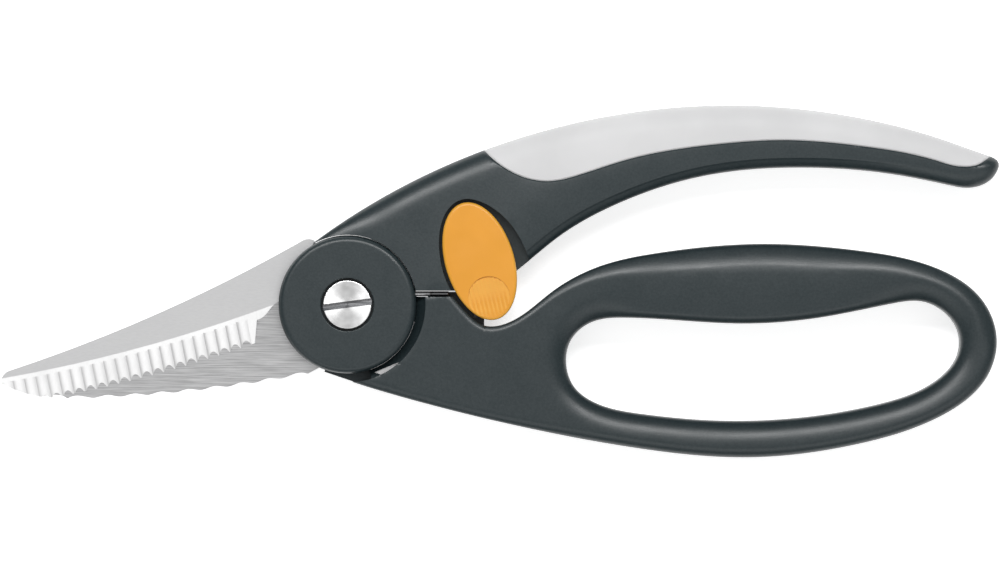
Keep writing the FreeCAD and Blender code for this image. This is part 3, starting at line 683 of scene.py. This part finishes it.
# --- materials ----------------------------------------------------------------------------------
class Material:
    """A node material under construction: wires nodes by name and keeps the shader at hand."""

    def __init__(self, name):
        self.material = bpy.data.materials.new(name)
        self.material.use_nodes = True
        self.tree = self.material.node_tree
        self.shader = self.tree.nodes["Principled BSDF"]

    def node(self, kind, inputs=None, **settings):
        made = self.tree.nodes.new(kind)
        for key, value in settings.items():
            setattr(made, key, value)
        for key, value in (inputs or {}).items():
            self.put(made, key, value)
        return made

    def put(self, node, key, value):
        if isinstance(value, bpy.types.NodeSocket):
            self.tree.links.new(value, node.inputs[key])
        else:
            node.inputs[key].default_value = value

    def set(self, **values):
        for key, value in values.items():
            self.put(self.shader, key.replace("_", " "), value)

    def place(self, scale=(1, 1, 1), turn=0.0):
        where = self.node("ShaderNodeTexCoord").outputs["Object"]
        mapping = self.node("ShaderNodeMapping", {"Vector": where, "Scale": scale})
        mapping.inputs["Rotation"].default_value = (0, 0, turn)
        return mapping.outputs[0]

    def noise(self, scale, detail=2.0, vector=None, roughness=0.5):
        inputs = {"Scale": scale, "Detail": detail, "Roughness": roughness}
        inputs["Vector"] = vector or self.place()
        return self.node("ShaderNodeTexNoise", inputs).outputs["Fac"]

    def blend(self, factor, low, high, start=0.35, end=0.65):
        """A colour ramp between two colours."""
        made = self.node("ShaderNodeValToRGB", {"Fac": factor})
        made.color_ramp.elements[0].position = start
        made.color_ramp.elements[1].position = end
        made.color_ramp.elements[0].color = (*low, 1)
        made.color_ramp.elements[1].color = (*high, 1)
        return made.outputs[0]

    def ranged(self, value, low, high, start=0.0, end=1.0):
        """A value taken from the range low to high into the range start to end."""
        inputs = {"Value": value, "From Min": low, "From Max": high, "To Min": start, "To Max": end}
        return self.node("ShaderNodeMapRange", inputs).outputs[0]

    def between(self, factor, low, high):
        """A value that wanders between two limits with a noise."""
        return self.ranged(factor, 0.3, 0.7, low, high)

    def mixed(self, factor, low, high):
        """One colour where the factor is 0, the other where it is 1."""
        made = self.node("ShaderNodeMix", data_type="RGBA")
        for socket, value in ((0, factor), (6, low), (7, high)):
            self.tree.links.new(value, made.inputs[socket])
        return made.outputs[2]

    def axes(self, vector):
        return self.node("ShaderNodeSeparateXYZ", {"Vector": vector}).outputs

    def maths(self, operation, *values):
        inputs = dict(enumerate(values))
        return self.node("ShaderNodeMath", inputs, operation=operation).outputs[0]

    def vector_maths(self, operation, inputs):
        return self.node("ShaderNodeVectorMath", inputs, operation=operation).outputs[0]

    def bump(self, *layers, normal=None):
        """Bumps, each (height, depth in mm), laid on one another."""
        for height, depth in layers:
            inputs = {"Height": height, "Distance": depth * MM, "Strength": 1.0}
            if normal:
                inputs["Normal"] = normal
            normal = self.node("ShaderNodeBump", inputs).outputs[0]
        self.set(Normal=normal)


def moulded_plastic(name, low, high):
    """Dark plastic with a fine matt grain and faint broad unevenness."""
    m = Material(name)
    grain = m.noise(1900.0, 3.0, roughness=0.6)
    m.set(Base_Color=m.blend(grain, low, high, 0.3, 0.7))
    m.set(Roughness=m.between(m.noise(150.0, 2.0), 0.32, 0.38))
    m.put(m.shader, "Specular IOR Level", 0.5)
    m.bump((grain, 0.016))
    return m.material


def soft_rubber():
    """Pale soft grip, quite matt."""
    m = Material("grip_rubber")
    m.set(Base_Color=m.blend(m.noise(60.0, 3.0), (0.565, 0.565, 0.57), (0.605, 0.605, 0.61)))
    m.set(Roughness=m.between(m.noise(150.0), 0.55, 0.65))
    m.bump((m.noise(3000.0, 2.0), 0.012))
    return m.material


def orange_plastic():
    """Glossy orange, with painted light below the top face: a paler colour in the thumb dish and on
    the rim.
    """
    m = Material("lever_plastic")
    cloud = m.noise(110.0, 2.0)
    face = m.blend(cloud, (0.7, 0.295, 0.018), (0.74, 0.315, 0.025))
    # Painted light: the thumb dish and the rim, below the top face, get a paler orange.
    paler_painted_light = m.blend(cloud, (0.73, 0.35, 0.035), (0.77, 0.375, 0.042))
    height = m.axes(m.node("ShaderNodeTexCoord").outputs["Object"])["Z"]
    m.set(Base_Color=m.mixed(m.ranged(height, 0.0152, 0.01528), paler_painted_light, face))
    m.set(Roughness=m.between(m.noise(200.0), 0.3, 0.38))
    m.bump((m.noise(2500.0), 0.006))
    return m.material


def ground_steel(name, low, high, rough, turn, streak, depth):
    """Steel ground or brushed in one direction, between two greys."""
    m = Material(name)
    along = m.place(scale=(streak, 1.0, 1.0), turn=turn)
    lines = m.noise(3600.0, 4.0, along, 0.65)
    soft = m.noise(120.0, 2.0)
    m.set(Metallic=1.0)
    m.set(Base_Color=m.blend(lines, (low, low, low + 0.005), (high, high, high + 0.005)))
    m.set(Roughness=m.between(soft, rough - 0.03, rough + 0.03))
    m.bump((lines, depth))
    return m.material


def front_steel():
    """Satin on the flat, nearly white on the ground bevel, partly from its grind and partly as
    painted sheen; its serrations shaded softly.
    """
    m = Material("blade_steel")
    lines = m.noise(4200.0, 3.0, m.place(scale=(0.2, 1.0, 1.0), turn=-0.3), 0.6)
    flat = m.blend(lines, (0.89, 0.89, 0.895), (0.93, 0.93, 0.935))
    ground = m.noise(2400.0, 3.0, m.place(scale=(1.0, 0.05, 1.0), turn=-0.19), 0.6)
    # The bevel's paler colour, made partly non-metallic below, is partly the grind's own finish and
    # partly a painted sheen that keeps it near white whichever way it faces.
    bevel_grind_and_painted_sheen = m.blend(ground, (0.96, 0.96, 0.96), (1.0, 1.0, 1.0))
    facing = m.node("ShaderNodeNewGeometry").outputs
    on_bevel = m.ranged(m.axes(facing["True Normal"])["Z"], 0.97, 0.995, 1.0, 0.0)
    m.set(Metallic=m.ranged(on_bevel, 0.0, 1.0, 1.0, 0.7))
    m.set(Base_Color=m.mixed(on_bevel, flat, bevel_grind_and_painted_sheen))
    m.set(Roughness=m.between(m.noise(120.0), 0.3, 0.36))
    shallow = m.vector_maths("MULTIPLY", {0: facing["Normal"], 1: (0.4, 1, 1)})
    m.bump((lines, 0.001), normal=m.vector_maths("NORMALIZE", {0: shallow}))
    return m.material


def turned_steel():
    """Steel faced on a lathe: fine rings about the pivot's axis, and painted shade in the screw
    slot, which is coloured much darker.
    """
    m = Material("turned_steel")
    where = m.axes(m.node("ShaderNodeTexCoord").outputs["Object"])
    squares = m.maths("ADD", m.maths("POWER", where["X"], 2.0), m.maths("POWER", where["Y"], 2.0))
    radius = m.node("ShaderNodeCombineXYZ", {"X": m.maths("SQRT", squares)}).outputs[0]
    rings = m.noise(5200.0, 3.0, radius)
    turned = m.blend(rings, (0.92, 0.92, 0.92), (1.0, 1.0, 1.0))
    smudge = m.between(m.noise(420.0, 1.0), 0.72, 1.0)
    face = m.vector_maths("SCALE", {0: turned, "Scale": smudge})
    milled = m.noise(900.0, 3.0, m.place(scale=(0.1, 1.0, 1.0), turn=-0.13))
    # Painted shade: below the head's face, in the screw slot, the colour is near black.
    slot = m.blend(milled, (0.08, 0.085, 0.09), (0.3, 0.3, 0.31))
    m.set(Metallic=1.0)
    m.set(Base_Color=m.mixed(m.ranged(where["Z"], 0.0143, 0.0147), slot, face))
    m.set(Roughness=m.between(m.noise(300.0), 0.32, 0.38))
    m.set(Anisotropic=0.7)
    tangent = m.node("ShaderNodeTangent", direction_type="RADIAL", axis="Z")
    m.set(Tangent=tangent.outputs[0])
    m.bump((rings, 0.006))
    return m.material


def painted_shade_steel():
    """Dark steel of the latch, its rivets and its pin: the near-black colour is painted shade for
    the gap under the lever.
    """
    m = Material("painted_shade_steel")
    m.set(Metallic=1.0)
    m.set(Base_Color=m.blend(m.noise(800.0, 3.0), (0.05, 0.05, 0.055), (0.09, 0.09, 0.095)))
    m.set(Roughness=m.between(m.noise(400.0), 0.35, 0.45))
    m.bump((m.noise(2200.0), 0.004))
    return m.material


def white_polymer():
    """Pale hard plastic for washers."""
    m = Material("washer_polymer")
    m.set(Base_Color=m.blend(m.noise(200.0), (0.76, 0.76, 0.73), (0.82, 0.82, 0.8)))
    m.set(Roughness=m.between(m.noise(500.0), 0.45, 0.55))
    m.bump((m.noise(2500.0), 0.005))
    return m.material


DARK = (0.0115, 0.0205, 0.0235)
LESS_DARK = (0.0215, 0.032, 0.0355)
plastic = moulded_plastic("handle_plastic", DARK, LESS_DARK)
finishes = {
    "cap_plastic": moulded_plastic("cap_plastic", DARK, LESS_DARK),
    "handle_plastic": plastic,
    "grip_soft": soft_rubber(),
    "lever_orange": orange_plastic(),
    "blade_steel": front_steel(),
    "rear_blade_steel": ground_steel("rear_blade_steel", 0.55, 0.88, 0.36, -0.16, 0.03, 0.004),
    "pivot_steel": turned_steel(),
    "spring_steel": ground_steel("spring_steel", 0.32, 0.45, 0.36, 0.0, 0.05, 0.001),
    "washer_polymer": white_polymer(),
}
slots = {part["node"]: part["material_slot"] for part in frame["record"]["subparts"]}


def finish_with(obj, material):
    obj.data.materials.clear()
    obj.data.materials.append(material)


for node, obj in frame["nodes"].items():
    finish_with(obj, finishes[slots[node]])
# The latch, its rivets and its pin take the near-black painted shade.
painted_shade_dark = painted_shade_steel()
for node in ("lock_latch", "latch_rivets", "catch_pin"):
    finish_with(frame["nodes"][node], painted_shade_dark)
for obj in (upper_handle, lower_handle):
    finish_with(obj, plastic)
for obj in (spring, spring_leg):
    finish_with(obj, finishes["spring_steel"])
finish_with(grip, finishes["grip_soft"])


# --- studio -------------------------------------------------------------------------------------
def make_floor():
    mesh = bpy.data.meshes.new("floor")
    mesh.from_pydata([(-15, -15, 0), (15, -15, 0), (15, 15, 0), (-15, 15, 0)], [], [(0, 1, 2, 3)])
    floor = bpy.data.objects.new("floor", mesh)
    bpy.context.scene.collection.objects.link(floor)
    m = Material("floor")
    m.set(Base_Color=m.blend(m.noise(3.0), (0.93, 0.93, 0.93), (0.95, 0.95, 0.95)))
    m.set(Roughness=0.9)
    m.put(m.shader, "Specular IOR Level", 0.0)
    m.put(m.shader, "Emission Color", (1.0, 1.0, 1.0, 1.0))
    m.put(m.shader, "Emission Strength", 0.63)
    finish_with(floor, m.material)


def make_light(name, place, size, power):
    """A rectangular light aimed at the middle of the shears."""
    data = bpy.data.lights.new(name, "AREA")
    data.shape = "RECTANGLE"
    data.size, data.size_y = size
    data.energy = power
    light = bpy.data.objects.new(name, data)
    light.location = place
    aim = Vector((0.035, 0.005, 0)) - Vector(place)
    light.rotation_euler = aim.to_track_quat("-Z", "Y").to_euler()
    bpy.context.scene.collection.objects.link(light)
    return light


def keep_off(light, objects):
    """Keep a light off some objects: bright steel would mirror it as plain white."""
    group = bpy.data.collections.new("kept_off")
    for obj in objects:
        group.objects.link(obj)
    light.light_linking.receiver_collection = group
    for item in group.collection_objects:
        item.light_linking.link_state = "EXCLUDE"


def make_world():
    """A softbox overhead: dim at both ends, a bright band on the near side, dark beyond."""
    world = bpy.data.worlds.new("studio")
    world.use_nodes = True
    bpy.context.scene.world = world
    tree = world.node_tree
    where = tree.nodes.new("ShaderNodeTexCoord")
    axis = tree.nodes.new("ShaderNodeSeparateXYZ")
    tree.links.new(where.outputs["Generated"], axis.inputs[0])
    place = tree.nodes.new("ShaderNodeMapRange")
    place.inputs["From Min"].default_value = -1.0
    tree.links.new(axis.outputs["Y"], place.inputs["Value"])
    bands = tree.nodes.new("ShaderNodeValToRGB")
    stops = [
        (0.0, 0.1), (0.08, 0.2), (0.14, 0.9), (0.29, 0.95), (0.34, 0.36), (0.42, 0.36),
        (0.5, 0.47), (0.6, 0.5), (0.72, 0.35), (0.85, 0.16), (1.0, 0.1),
    ]
    for _ in range(len(stops) - 2):
        bands.color_ramp.elements.new(0.5)
    for element, (position, value) in zip(bands.color_ramp.elements, stops):
        element.position = position
        element.color = (value, value, value, 1.0)
    tree.links.new(place.outputs[0], bands.inputs[0])
    sideways = tree.nodes.new("ShaderNodeMath")
    sideways.operation = "ABSOLUTE"
    tree.links.new(axis.outputs["X"], sideways.inputs[0])
    ends = tree.nodes.new("ShaderNodeMapRange")
    ends.interpolation_type = "SMOOTHSTEP"
    for key, value in {"From Min": 0.25, "From Max": 0.8, "To Min": 1.5, "To Max": 0.6}.items():
        ends.inputs[key].default_value = value
    tree.links.new(sideways.outputs[0], ends.inputs["Value"])
    tree.links.new(bands.outputs[0], tree.nodes["Background"].inputs["Color"])
    tree.links.new(ends.outputs[0], tree.nodes["Background"].inputs["Strength"])


make_floor()
make_world()
key = make_light("key", (0.035, 0.235, 0.44), (0.5, 0.07), 1.85)
keep_off(key, [frame["nodes"]["front_blade"], frame["nodes"]["rear_blade"], spring, spring_leg])
bpy.context.scene.view_settings.view_transform = "Standard"
